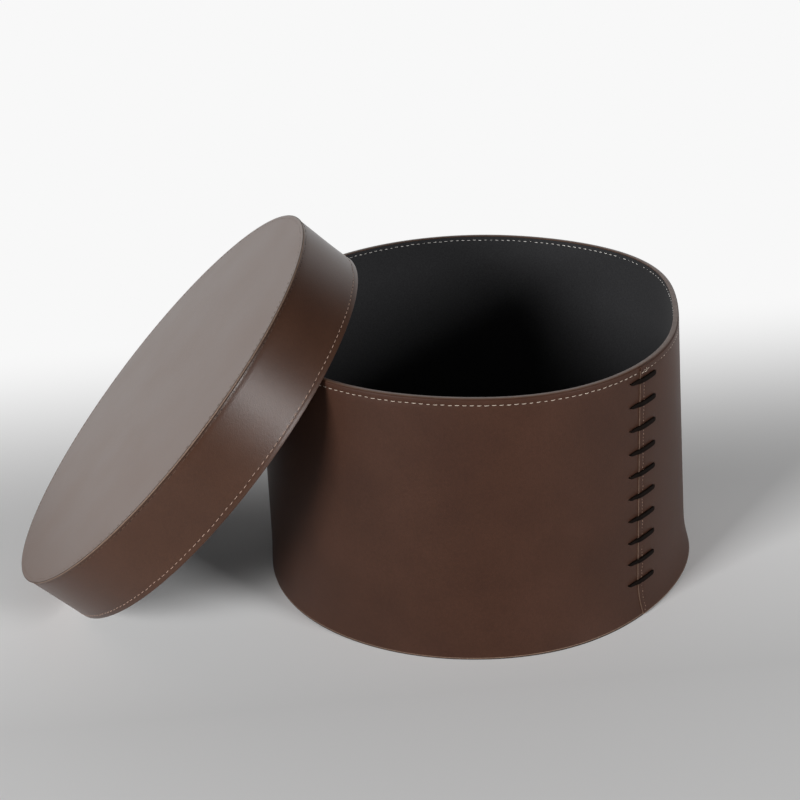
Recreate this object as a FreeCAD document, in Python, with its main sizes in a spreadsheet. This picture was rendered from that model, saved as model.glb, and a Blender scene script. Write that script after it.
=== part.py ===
"""Round leather storage box with a lift-off lid.

The box is a leather wall over a stiffening hoop and a suede lining, on a boarded base. The wall is one
strip whose ends lap at a vertical seam, and a flat lace crosses that seam through punched slots. The lid
is built up in the same way. It is modelled as it lies when taken off: standing on its skirt's edge and
leaning on the rim of the box, which touches the inside of the skirt at two points.

Millimetres and degrees. The origin is the middle of the base on the floor, +Z is up, and the lid leans
along -X.
"""
import FreeCAD, Part
import math
import os

import Sketcher
from FreeCAD import Placement, Rotation, Vector

SIZES = [
    ("rim_radius", 200.0, "outside of the leather wall at the rim"),
    ("rim_height", 256.0, "rim above the floor"),
    ("leather_gauge", 1.8, "leather of the wall, the skirt and the panel"),
    ("board_gauge", 2.0, "stiffening board of the wall and the lid"),
    ("lining_gauge", 0.8, "suede lining"),
    ("glue_line", 0.15, "gap filled by glue between two layers"),
    ("edge_bevel", 0.5, "bevel of a painted leather edge"),
    ("foot_lift", 1.6, "lower edge of the wall above the floor"),
    ("flare_height", 30.0, "height over which the foot of the wall flares"),
    ("flare_reach", 2.8, "how far the foot flares outwards"),
    ("base_leather_gauge", 2.0, "leather under the base"),
    ("base_board_gauge", 4.0, "board of the base"),
    ("seam_angle", -51.4, "raw edge of the wall's flap, about +Z from +X"),
    ("lap_angle", 40.0, "angle over which a flap sinks into its strip"),
    ("lap_skive", 0.5, "leather pared off the flap at its raw edge"),
    ("lace_pitch", 22.7, "from one cross stitch to the next"),
    ("lace_drop", 15.2, "middle of the first cross stitch below the rim"),
    ("lace_left", 14.2, "left slots from the raw edge, along the wall"),
    ("lace_right", 25.0, "right slots from the raw edge, along the wall"),
    ("lace_slant", 6.0, "slope of a cross stitch, falling to the right"),
    ("lace_width", 4.4, "width of the flat lace"),
    ("lace_gauge", 1.5, "thickness of the flat lace"),
    ("lace_slack", 0.3, "room round the lace in a slot, on the leather and behind it"),
    ("hoop_relief", 6.0, "end of the hoop from the nearest slots"),
    ("lid_play", 3.9, "room between the wall and the lining of the skirt"),
    ("lid_depth", 63.0, "lid from its open edge to the top of its panel"),
    ("panel_proud", 0.8, "panel's edge beyond the skirt"),
    ("lid_seam_angle", 120.0, "raw edge of the skirt's flap, about the lid's axis"),
    ("lean_clear", 20.0, "room between the leaned-on rim and the lining of the lid's panel"),
    ("lean_gap", 0.35, "room between the rim and the skirt where the lid leans"),
    ("floor_gap", 0.1, "room between the lid's lowest edge and the floor"),
]

FLAP_OVERRUN = 2.0  # degrees by which a flap runs on inside its strip, past the line where it sinks in
LEAN_STEP = 1e-6  # millimetres to which the lid's lean is solved
MITRED = 2  # how an offset outline turns its corners

doc = FreeCAD.newDocument("leather_storage_box")
sheet = doc.addObject("Spreadsheet::Sheet", "Sizes")
for row, (alias, number, meaning) in enumerate(SIZES, start=1):
    sheet.set(f"A{row}", meaning)
    sheet.set(f"B{row}", str(number))
    sheet.setAlias(f"B{row}", alias)
doc.recompute()

# Layers of the box's wall, from the outside in
LEATHER_IN = "(Sizes.rim_radius - Sizes.leather_gauge)"
HOOP_OUT = f"({LEATHER_IN} - Sizes.glue_line)"
HOOP_IN = f"({HOOP_OUT} - Sizes.board_gauge)"
LINING_OUT = f"({HOOP_IN} - Sizes.glue_line)"
LINING_IN = f"({LINING_OUT} - Sizes.lining_gauge)"

# Heights in the box, from the floor up
BASE_BOARD_FOOT = "(Sizes.base_leather_gauge + Sizes.glue_line)"
BASE_BOARD_TOP = f"({BASE_BOARD_FOOT} + Sizes.base_board_gauge)"
LAYER_FOOT = f"({BASE_BOARD_TOP} + Sizes.glue_line)"
FLARE_TOP = "(Sizes.foot_lift + Sizes.flare_height)"

# The base fills the flare at the top of the base board
BASE_RADIUS = (
    f"({LEATHER_IN} - Sizes.glue_line"
    f" + Sizes.flare_reach * ({FLARE_TOP} - {BASE_BOARD_TOP}) / Sizes.flare_height)"
)

# Layers of the lid's skirt, from the inside out
SKIRT_LINING_IN = "(Sizes.rim_radius + Sizes.lid_play)"
SKIRT_LINING_OUT = f"({SKIRT_LINING_IN} + Sizes.lining_gauge)"
SKIRT_HOOP_IN = f"({SKIRT_LINING_OUT} + Sizes.glue_line)"
SKIRT_HOOP_OUT = f"({SKIRT_HOOP_IN} + Sizes.board_gauge)"
SKIRT_LEATHER_IN = f"({SKIRT_HOOP_OUT} + Sizes.glue_line)"
SKIRT_OUT = f"({SKIRT_LEATHER_IN} + Sizes.leather_gauge)"
PANEL_OUT = f"({SKIRT_OUT} + Sizes.panel_proud)"

# Heights in the lid, from its open edge
PANEL_FOOT = "(Sizes.lid_depth - Sizes.leather_gauge)"
SKIRT_TOP = f"({PANEL_FOOT} - Sizes.glue_line)"
PANEL_BOARD_FOOT = f"({SKIRT_TOP} - Sizes.board_gauge)"
PANEL_LINING_FOOT = f"({PANEL_BOARD_FOOT} - Sizes.glue_line - Sizes.lining_gauge)"

# A flap is pared, so that it stands this far proud at its raw edge and is this thick
LAP_STEP = "(Sizes.leather_gauge - Sizes.lap_skive)"
FLAP_GAUGE = "(Sizes.leather_gauge - Sizes.lap_skive / 2)"

# As many cross stitches as the wall holds above its flare
LACE_COUNT = f"(floor((Sizes.rim_height - Sizes.lace_drop - {FLARE_TOP}) / Sizes.lace_pitch) + 1)"
HOOP_GAP = "((Sizes.lace_left + Sizes.lace_right + 2 * Sizes.hoop_relief) / Sizes.rim_radius * 180 / pi)"


def value(expression):
    """Returns the number that an expression in the sheet's sizes gives."""
    result = sheet.evalExpression(expression)
    return float(getattr(result, "Value", result))


def size(alias):
    """Returns one size of the sheet as a number."""
    return float(sheet.get(alias))


def origin_feature(body, role):
    """Returns a plane or an axis of a body's own origin."""
    return next(item for item in body.Origin.OriginFeatures if item.Role == role)


def new_sketch(body, name, role, offset=Placement()):
    """Adds a sketch to a body, on one of its origin planes, moved by an offset in that plane's frame."""
    sketch = body.newObject("Sketcher::SketchObject", name)
    sketch.AttachmentSupport = [(origin_feature(body, role), "")]
    sketch.MapMode = "FlatFace"
    sketch.AttachmentOffset = offset
    return sketch


def bind(sketch, expression, kind, *places):
    """Adds a dimension to a sketch and ties it to the sheet."""
    index = sketch.addConstraint(Sketcher.Constraint(kind, *places, value(expression)))
    sketch.setExpression(f"Constraints[{index}]", expression)


def join_ends(sketch, joints):
    """Makes pairs of (edge, end) meet."""
    for (first, first_end), (second, second_end) in joints:
        sketch.addConstraint(Sketcher.Constraint("Coincident", first, first_end, second, second_end))


def line(start, end):
    """Returns a straight sketch edge between two (x, y) points."""
    return Part.LineSegment(Vector(*start, 0), Vector(*end, 0))


def rectangle(sketch, across, upright):
    """Draws a rectangle and returns its right, top, left and foot sides, drawn in that direction."""
    (left, right), (foot, top) = across, upright
    corners = [(right, foot), (right, top), (left, top), (left, foot)]
    sides = sketch.addGeometry([line(corners[i], corners[(i + 1) % 4]) for i in range(4)])
    join_ends(sketch, [((sides[i - 1], 2), (sides[i], 1)) for i in range(4)])
    for kind, side in zip(("Vertical", "Horizontal", "Vertical", "Horizontal"), sides):
        sketch.addConstraint(Sketcher.Constraint(kind, side))
    return sides


def stacked_sketch(body, name, foot):
    """Adds a sketch that lies flat at a height given by an expression."""
    sketch = new_sketch(body, name, "XY_Plane", Placement(Vector(0, 0, value(foot)), Rotation()))
    sketch.setExpression("AttachmentOffset.Base.z", foot)
    return sketch


def pad_circles(label, radii, foot, height):
    """Builds a body by padding one circle, or two for a ring, from a foot to a height above it."""
    body = doc.addObject("PartDesign::Body", label)
    sketch = stacked_sketch(body, f"{label}_outline", foot)
    for radius in radii:
        circle = sketch.addGeometry(Part.Circle(Vector(), Vector(0, 0, 1), value(radius)))
        sketch.addConstraint(Sketcher.Constraint("Coincident", circle, 3, -1, 1))
        bind(sketch, radius, "Radius", circle)
    pad = body.newObject("PartDesign::Pad", f"{label}_pad")
    pad.Profile = sketch
    pad.setExpression("Length", height)
    doc.recompute()
    return body


def bevel_edge(body, radius, height):
    """Bevels the round edge of a body that has this radius at this height."""
    tip = body.Tip
    names = []
    for number, edge in enumerate(tip.Shape.Edges, start=1):
        curve = edge.Curve
        if isinstance(curve, Part.Circle) and math.isclose(curve.Radius, value(radius), abs_tol=1e-4):
            if math.isclose(curve.Center.z, value(height), abs_tol=1e-4):
                names.append(f"Edge{number}")
    bevel = body.newObject("PartDesign::Chamfer", f"{body.Name}_bevel")
    bevel.Base = (tip, names)
    bevel.setExpression("Size", "Sizes.edge_bevel")
    doc.recompute()


def revolve(body, name, sketch, angle):
    """Turns a profile about its sketch's upright axis, half of the angle to each side of its plane."""
    turned = body.newObject("PartDesign::Revolution", name)
    turned.Profile = sketch
    turned.ReferenceAxis = (sketch, ["V_Axis"])
    turned.Midplane = True
    turned.setExpression("Angle", angle)
    doc.recompute()


def turned_offset(angle, shift=Vector()):
    """Returns the offset that turns a sketch on the XZ plane about +Z, after a shift in the XY plane."""
    return Placement(Vector(shift.x, 0, -shift.y), Rotation(Vector(0, 1, 0), angle))


def flared_profile(sketch, gauge):
    """Draws the wall's section: upright to the rim with a bevelled edge, and flaring at the foot."""
    rim, reach, bevel = size("rim_radius"), size("flare_reach"), size("edge_bevel")
    foot, top, flare_top, thick = size("foot_lift"), size("rim_height"), value(FLARE_TOP), value(gauge)
    corners = [(rim + reach, foot), (rim, flare_top), (rim, top - bevel), (rim - bevel, top),
               (rim - thick, top), (rim - thick, flare_top), (rim + reach - thick, foot)]
    count = len(corners)
    sides = sketch.addGeometry([line(corners[i], corners[(i + 1) % count]) for i in range(count)])
    join_ends(sketch, [((sides[i - 1], 2), (sides[i], 1)) for i in range(count)])
    outer_flare, outer_side, bevel_side, top_side, inner_side, inner_flare, foot_side = sides
    for kind, side in [("Vertical", outer_side), ("Vertical", inner_side),
                       ("Horizontal", top_side), ("Horizontal", foot_side)]:
        sketch.addConstraint(Sketcher.Constraint(kind, side))
    sketch.addConstraint(Sketcher.Constraint("Parallel", outer_flare, inner_flare))
    sketch.addConstraint(Sketcher.Constraint("Horizontal", inner_side, 2, outer_side, 1))
    bind(sketch, "Sizes.rim_radius", "DistanceX", -1, 1, outer_side, 1)
    bind(sketch, FLARE_TOP, "DistanceY", -1, 1, outer_side, 1)
    bind(sketch, "Sizes.foot_lift", "DistanceY", -1, 1, outer_flare, 1)
    bind(sketch, "Sizes.flare_reach", "DistanceX", outer_flare, 2, outer_flare, 1)
    bind(sketch, gauge, "DistanceX", inner_side, 2, outer_side, 1)
    bind(sketch, "Sizes.rim_height", "DistanceY", -1, 1, top_side, 1)
    bind(sketch, "Sizes.edge_bevel", "DistanceX", bevel_side, 2, bevel_side, 1)
    bind(sketch, "Sizes.edge_bevel", "DistanceY", bevel_side, 1, bevel_side, 2)


def skirt_profile(sketch, gauge):
    """Draws the skirt's section: upright, with a bevelled outer corner at the open edge."""
    out, top, thick, bevel = value(SKIRT_OUT), value(SKIRT_TOP), value(gauge), size("edge_bevel")
    sketch.addGeometry([
        line((out, bevel), (out, top)),
        line((out, top), (out - thick, top)),
        line((out - thick, top), (out - thick, 0)),
        line((out - thick, 0), (out - bevel, 0)),
        line((out - bevel, 0), (out, bevel)),
    ])
    outer_side, top_side, inner_side, open_side, bevel_side = range(5)
    join_ends(sketch, [
        ((outer_side, 2), (top_side, 1)), ((top_side, 2), (inner_side, 1)),
        ((inner_side, 2), (open_side, 1)), ((open_side, 2), (bevel_side, 1)),
        ((bevel_side, 2), (outer_side, 1)),
    ])
    for kind, side in [("Vertical", outer_side), ("Vertical", inner_side), ("Horizontal", top_side)]:
        sketch.addConstraint(Sketcher.Constraint(kind, side))
    for end in (1, 2):
        sketch.addConstraint(Sketcher.Constraint("PointOnObject", open_side, end, -1))
    bind(sketch, SKIRT_OUT, "DistanceX", -1, 1, outer_side, 1)
    bind(sketch, SKIRT_TOP, "DistanceY", -1, 1, top_side, 1)
    bind(sketch, gauge, "DistanceX", inner_side, 1, outer_side, 2)
    bind(sketch, "Sizes.edge_bevel", "DistanceX", bevel_side, 1, bevel_side, 2)
    bind(sketch, "Sizes.edge_bevel", "DistanceY", bevel_side, 1, bevel_side, 2)


def lapped_strip(label, profile, raw_edge):
    """Builds a round leather strip whose end laps over its beginning.

    The strip is a full turn of the profile. The flap is the same profile, pared, turned about an axis set
    off to one side: at its raw edge it stands proud by the lap's step, and it sinks into the strip
    smoothly over the lap's angle.
    """
    body = doc.addObject("PartDesign::Body", label)
    strip = new_sketch(body, f"{label}_profile", "XZ_Plane")
    profile(strip, "Sizes.leather_gauge")
    revolve(body, f"{label}_strip", strip, "360")
    lap = size("lap_angle")
    off_axis = value(LAP_STEP) / math.sin(math.radians(lap))
    towards = math.radians(raw_edge + lap - 90)
    shift = Vector(off_axis * math.cos(towards), off_axis * math.sin(towards), 0)
    middle = raw_edge + (lap + FLAP_OVERRUN) / 2
    flap = new_sketch(body, f"{label}_flap_profile", "XZ_Plane", turned_offset(middle, shift))
    profile(flap, FLAP_GAUGE)
    revolve(body, f"{label}_flap", flap, f"Sizes.lap_angle + {FLAP_OVERRUN}")
    return body


def along_wall(distance):
    """Returns the angle, about the box's axis, of a distance measured round the wall."""
    return math.degrees(distance / size("rim_radius"))


LEFT_SLOTS = size("seam_angle") - along_wall(size("lace_left"))
RIGHT_SLOTS = size("seam_angle") + along_wall(size("lace_right"))
STITCH_MIDDLE = (LEFT_SLOTS + RIGHT_SLOTS) / 2
STITCH_HALF = math.radians(RIGHT_SLOTS - LEFT_SLOTS) / 2
FIRST_STITCH = size("rim_height") - size("lace_drop")
STITCH_RISE = size("rim_radius") * math.sin(STITCH_HALF) * math.sin(math.radians(size("lace_slant")))
BEHIND = value(f"({LEATHER_IN} + {LINING_OUT}) / 2")  # middle of the gap behind the leather


def punch_slots(body, name, angle, height):
    """Punches one column of slots through the wall's leather, the first at a height below the rim."""
    turn = Rotation(Vector(0, 1, 0), angle) * Rotation(Vector(0, 0, 1), -size("lace_slant"))
    sketch = new_sketch(body, f"{name}_outline", "YZ_Plane", Placement(Vector(0, height, 0), turn))
    half_wide = size("lace_gauge") / 2 + size("lace_slack")
    half_tall = size("lace_width") / 2 + size("lace_slack")
    right, top, left, _ = rectangle(sketch, (-half_wide, half_wide), (-half_tall, half_tall))
    sketch.addConstraint(Sketcher.Constraint("Symmetric", right, 1, left, 1, -1, 1))
    bind(sketch, "Sizes.lace_gauge + 2 * Sizes.lace_slack", "DistanceX", top, 2, top, 1)
    bind(sketch, "Sizes.lace_width + 2 * Sizes.lace_slack", "DistanceY", right, 1, right, 2)
    slot = body.newObject("PartDesign::Pocket", name)
    slot.Profile = sketch
    slot.Reversed = True
    slot.setExpression("Length", f"Sizes.rim_radius + {LAP_STEP} + Sizes.flare_reach")
    doc.recompute()
    column = body.newObject("PartDesign::LinearPattern", f"{name}_column")
    column.Originals = [slot]
    column.Direction = (origin_feature(body, "Z_Axis"), [""])
    column.Reversed = True
    column.setExpression("Length", f"({LACE_COUNT} - 1) * Sizes.lace_pitch")
    column.setExpression("Occurrences", LACE_COUNT)
    body.Tip = column
    doc.recompute()


def wall_point(radius, angle):
    """Returns a point of the XY plane at a radius and an angle from the box's axis."""
    return Vector(radius * math.cos(math.radians(angle)), radius * math.sin(math.radians(angle)), 0)


def cross_stitch():
    """Returns one cross stitch at height zero: out of the left slot, over the raw edge, into the right."""
    rim, gauge, width = size("rim_radius"), size("lace_gauge"), size("lace_width")
    lift = size("lace_slack") + gauge / 2
    step, lap = value(LAP_STEP), math.radians(size("lap_angle"))
    right_step = step * math.sin(lap - size("lace_right") / rim) / math.sin(lap)
    left_top = wall_point(rim + lift, LEFT_SLOTS)
    over_edge = wall_point(rim + step + lift, size("seam_angle"))
    right_top = wall_point(rim + right_step + lift, RIGHT_SLOTS)
    route = Part.Wire([
        Part.LineSegment(wall_point(BEHIND, LEFT_SLOTS), left_top).toShape(),
        Part.Arc(left_top, over_edge, right_top).toShape(),
        Part.LineSegment(right_top, wall_point(BEHIND, RIGHT_SLOTS)).toShape(),
    ])
    halves = [route.makeOffset2D(side * gauge / 2, join=MITRED, openResult=True, fill=True)
              for side in (1, -1)]
    stitch = halves[0].fuse(halves[1]).removeSplitter().Faces[0].extrude(Vector(0, 0, width))
    stitch.translate(Vector(0, 0, -width / 2))
    stitch.rotate(Vector(), wall_point(1, STITCH_MIDDLE), -size("lace_slant"))
    return stitch


def hidden_run():
    """Returns the run behind the leather from the stitch at height zero to the next one below it."""
    width, pitch = size("lace_width"), size("lace_pitch")
    across = 2 * BEHIND * math.sin(STITCH_HALF)
    fall = pitch - 2 * STITCH_RISE
    length = math.hypot(across, fall)
    band = Part.makeBox(BEHIND + size("board_gauge"), length, width, Vector(0, -length / 2, -width / 2))
    band.rotate(Vector(), Vector(1, 0, 0), math.degrees(math.atan2(fall, across)))
    band.rotate(Vector(), Vector(0, 0, 1), STITCH_MIDDLE)
    band.translate(Vector(0, 0, -pitch / 2))
    foot, height = Vector(0, 0, -pitch - width), pitch + 2 * width
    outside = Part.makeCylinder(value(LEATHER_IN) - size("lace_slack"), height, foot)
    inside = Part.makeCylinder(value(LINING_OUT) + size("lace_slack"), height, foot)
    return band.common(outside.cut(inside))


def lacing_shape():
    """Returns the lace: its cross stitches over the seam, joined by the runs behind the leather."""
    stitch, run = cross_stitch(), hidden_run()
    count, pitch = int(value(LACE_COUNT)), size("lace_pitch")
    heights = [Vector(0, 0, FIRST_STITCH - number * pitch) for number in range(count)]
    pieces = [stitch.translated(height) for height in heights]
    pieces += [run.translated(height) for height in heights[:-1]]
    return pieces[0].multiFuse(pieces[1:]).removeSplitter()


def board_hoop(label):
    """Builds the wall's stiffening hoop: a strip rolled round, its ends apart behind the lacing."""
    body = doc.addObject("PartDesign::Body", label)
    sketch = new_sketch(body, f"{label}_profile", "XZ_Plane", turned_offset(STITCH_MIDDLE + 180))
    outer, top, _, _ = rectangle(sketch, (value(HOOP_IN), value(HOOP_OUT)),
                                 (value(LAYER_FOOT), size("rim_height")))
    bind(sketch, HOOP_OUT, "DistanceX", -1, 1, outer, 1)
    bind(sketch, LAYER_FOOT, "DistanceY", -1, 1, outer, 1)
    bind(sketch, "Sizes.rim_height", "DistanceY", -1, 1, outer, 2)
    bind(sketch, "Sizes.board_gauge", "DistanceX", top, 2, top, 1)
    revolve(body, f"{label}_strip", sketch, f"360 - {HOOP_GAP}")
    return body


def lean_placement():
    """Returns where the lid lies: its lowest edge on the floor, the rim of the box against its skirt.

    The rim meets the skirt's open edge at two points, on a line across the lid at some height up its slope.
    The nearer that line is to the lid's middle, the deeper the round rim reaches in between them, so the
    height up the slope is halved down to the one that leaves the wanted room under the panel.
    """
    rim, height = size("rim_radius"), size("rim_height") - size("floor_gap")
    foot_reach = value(SKIRT_OUT) - size("edge_bevel")
    inside = value(SKIRT_LINING_IN) - size("lean_gap")
    depth = value(PANEL_LINING_FOOT) - size("lean_clear")

    def lean_at(up_slope):
        across = math.sqrt(inside ** 2 - up_slope ** 2)
        touch = -math.sqrt(rim ** 2 - across ** 2)
        sine = height / (foot_reach + up_slope)
        return sine, touch, (rim + touch) * sine

    low, high = max(math.sqrt(inside ** 2 - rim ** 2), height - foot_reach), inside
    while high - low > LEAN_STEP:
        middle = (low + high) / 2
        too_deep = lean_at(middle)[2] > depth
        low, high = (middle, high) if too_deep else (low, middle)
    sine, touch, _ = lean_at(high)
    lean = math.asin(sine)
    centre = Vector(touch - high * math.cos(lean), 0, foot_reach * sine + size("floor_gap"))
    return Placement(centre, Rotation(Vector(0, 1, 0), -math.degrees(lean)))


# The box
wall_leather = lapped_strip("wall_leather", flared_profile, size("seam_angle"))
punch_slots(wall_leather, "left_slots", LEFT_SLOTS, FIRST_STITCH + STITCH_RISE)
punch_slots(wall_leather, "right_slots", RIGHT_SLOTS, FIRST_STITCH - STITCH_RISE)
seam_lacing = doc.addObject("Part::Feature", "seam_lacing")
seam_lacing.Shape = lacing_shape()
wall_board = board_hoop("wall_board")
wall_lining = pad_circles("wall_lining", [LINING_OUT, LINING_IN], LAYER_FOOT,
                          f"Sizes.rim_height - {LAYER_FOOT}")
base_leather = pad_circles("base_leather", [BASE_RADIUS], "0", "Sizes.base_leather_gauge")
base_board = pad_circles("base_board", [BASE_RADIUS], BASE_BOARD_FOOT, "Sizes.base_board_gauge")
base_lining = pad_circles("base_lining", [f"{LINING_IN} - Sizes.glue_line"], LAYER_FOOT, "Sizes.lining_gauge")

# The lid, upright about its own axis with its open edge at zero
lid_skirt_leather = lapped_strip("lid_skirt_leather", skirt_profile, size("lid_seam_angle"))
lid_skirt_board = pad_circles("lid_skirt_board", [SKIRT_HOOP_OUT, SKIRT_HOOP_IN], "0", SKIRT_TOP)
lid_skirt_lining = pad_circles("lid_skirt_lining", [SKIRT_LINING_OUT, SKIRT_LINING_IN], "0",
                               f"{PANEL_LINING_FOOT} - Sizes.glue_line")
lid_panel_leather = pad_circles("lid_panel_leather", [PANEL_OUT], PANEL_FOOT, "Sizes.leather_gauge")
bevel_edge(lid_panel_leather, PANEL_OUT, "Sizes.lid_depth")
lid_panel_board = pad_circles("lid_panel_board", [SKIRT_LINING_OUT], PANEL_BOARD_FOOT, "Sizes.board_gauge")
lid_panel_lining = pad_circles("lid_panel_lining", [SKIRT_LINING_OUT], PANEL_LINING_FOOT,
                               "Sizes.lining_gauge")

box_pieces = [wall_leather, seam_lacing, wall_board, wall_lining, base_leather, base_board, base_lining]
lid_pieces = [lid_skirt_leather, lid_skirt_board, lid_skirt_lining,
              lid_panel_leather, lid_panel_board, lid_panel_lining]
lean = lean_placement()
for piece in lid_pieces:
    piece.Placement = lean
doc.recompute()

for item in doc.Objects:
    if "Invalid" in item.State or "Error" in item.State:
        raise RuntimeError(f"{item.Label} failed: {item.State}")
for piece in box_pieces + lid_pieces:
    if piece.Shape.isNull() or not piece.Shape.isValid():
        raise RuntimeError(f"{piece.Label} has no valid shape")

os.makedirs("parts", exist_ok=True)
for piece in box_pieces + lid_pieces:
    piece.Shape.exportStep(f"parts/{piece.Label}.step")
    print(f"{piece.Label}: {len(piece.Shape.Solids)} solid, {piece.Shape.Volume / 1000:.2f} cm3")
print(f"lid leans {math.degrees(abs(lean.Rotation.Angle)):.3f} degrees, middle of its open edge {lean.Base}")
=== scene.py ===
"""A round leather storage box with its lift-off lid leaning on the rim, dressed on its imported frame.

The leather is handled as in a workshop. Every strip is cut flat on the bench, scored, punched and given its
gauge and its finishes there, and only then rolled round the box or the lid. On the bench X runs round the
wall from the raw edge of the lap, Y is the height and Z points out of the grain side. Lengths are in metres.
"""

import enum
import logging
import math
from collections.abc import Callable, Iterator
from contextlib import contextmanager
from dataclasses import dataclass, field, replace

import bmesh
import bpy
import numpy as np
from mathutils import Matrix, Vector


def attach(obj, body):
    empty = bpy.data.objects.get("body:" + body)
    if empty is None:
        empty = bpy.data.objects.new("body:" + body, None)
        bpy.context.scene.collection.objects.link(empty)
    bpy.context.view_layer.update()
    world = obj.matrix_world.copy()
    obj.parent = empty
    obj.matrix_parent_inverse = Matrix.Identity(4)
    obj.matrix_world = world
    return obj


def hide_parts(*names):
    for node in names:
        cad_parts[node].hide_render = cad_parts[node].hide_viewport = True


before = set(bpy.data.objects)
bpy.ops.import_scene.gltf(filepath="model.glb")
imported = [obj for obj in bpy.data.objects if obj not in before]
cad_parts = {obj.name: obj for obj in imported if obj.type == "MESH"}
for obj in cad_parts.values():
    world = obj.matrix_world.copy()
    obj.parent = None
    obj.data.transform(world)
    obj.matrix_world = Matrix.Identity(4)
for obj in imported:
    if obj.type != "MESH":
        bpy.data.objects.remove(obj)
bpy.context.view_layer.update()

MM = 0.001
ALONG = (1.0, 0.0, 0.0)
UP = (0.0, 1.0, 0.0)
SHARP = math.radians(60)   # edges that turn by more than this are bevelled
GROOVE_HALF = 1.1 * MM     # half the width of the dent that a row of thread pulls into leather
GROOVE_DEPTH = 0.25 * MM
EDGE_BEVEL = 0.35 * MM     # the worn edge of cut leather
FLAT = 0.9                 # a face whose normal has this much of Z is on a flat side, others on an edge
LOG = logging.getLogger("storage_box")
Points = np.ndarray
Links = dict[str | int, bpy.types.NodeSocket]


class Body(enum.Enum):
    """The two bodies that pieces ride on."""
    BOX = "box"
    LID = "lid"


class Slot(enum.Enum):
    """The material slots, by name."""
    BROWN = "brown_leather"
    UNDER = "under_leather"
    LACE = "lace"
    LINING = "lining"
    BOARD = "board"


class Run(enum.Enum):
    """How a row of stitches lies on its leather."""
    ROUND = "round the wall"
    UP = "up the wall"
    RING = "round a flat panel"


def linear(colour: str) -> tuple[float, ...]:
    """Turns an sRGB hex colour into linear RGBA.

    Args:
        colour: The colour as "#rrggbb".

    Returns:
        Red, green and blue in linear light, and an alpha of 1.
    """
    channels = [int(colour[place:place + 2], 16) / 255 for place in (1, 3, 5)]
    return *(c / 12.92 if c <= 0.04045 else ((c + 0.055) / 1.055) ** 2.4 for c in channels), 1.0


def add_node(tree: bpy.types.NodeTree, kind: str, links: Links | None = None, values: dict | None = None,
             **settings: object) -> bpy.types.Node:
    """Adds a node with its settings, values and links.

    Args:
        tree: The node tree.
        kind: The node's type.
        links: Output sockets that feed its inputs, by input name.
        values: Constant values of its inputs, by input name or number.
        **settings: Attributes of the node itself.

    Returns:
        The new node.
    """
    node = tree.nodes.new(kind)
    for name, setting in settings.items():
        setattr(node, name, setting)
    for socket, value in (values or {}).items():
        node.inputs[socket].default_value = value
    for socket, source in (links or {}).items():
        tree.links.new(source, node.inputs[socket])
    return node


def per_metre(grain_mm: float) -> float:
    """Returns the texture scale at which one cell of a pattern is this many millimetres wide."""
    return 1000.0 / grain_mm


def spread_of(node: bpy.types.Node, tree: bpy.types.NodeTree, low: float,
              high: float) -> bpy.types.NodeSocket:
    """Maps a texture's middle values to a range.

    Args:
        node: The texture node, read at its first float output.
        tree: The node tree.
        low: The value at a texture value of 0.3.
        high: The value at a texture value of 0.7.

    Returns:
        The output socket with the mapped value.
    """
    source = node.outputs.get("Fac") or node.outputs.get("Distance") or node.outputs[0]
    ends = {"From Min": 0.3, "From Max": 0.7, "To Min": low, "To Max": high}
    return add_node(tree, "ShaderNodeMapRange", {"Value": source}, ends).outputs["Result"]


@dataclass(frozen=True)
class Finish:
    """What every finish has: a name, a colour and how rough it is."""
    name: str
    colour: str
    rough: float

    def material(self) -> bpy.types.Material:
        """Gives the finish's material, made when it is first asked for.

        Returns:
            The material.
        """
        made = bpy.data.materials.get(self.name)
        if made:
            return made
        made = bpy.data.materials.new(self.name)
        made.use_nodes = True
        tree = made.node_tree
        self.paint(tree, tree.nodes["Principled BSDF"])
        return made

    def paint(self, tree: bpy.types.NodeTree, shader: bpy.types.Node) -> None:
        """Sets the shader up; each kind of finish has its own way."""
        raise NotImplementedError

    def coordinates(self, tree: bpy.types.NodeTree) -> bpy.types.NodeSocket:
        """Returns the socket of the piece's own coordinates, in metres."""
        return add_node(tree, "ShaderNodeTexCoord").outputs["Object"]


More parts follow.
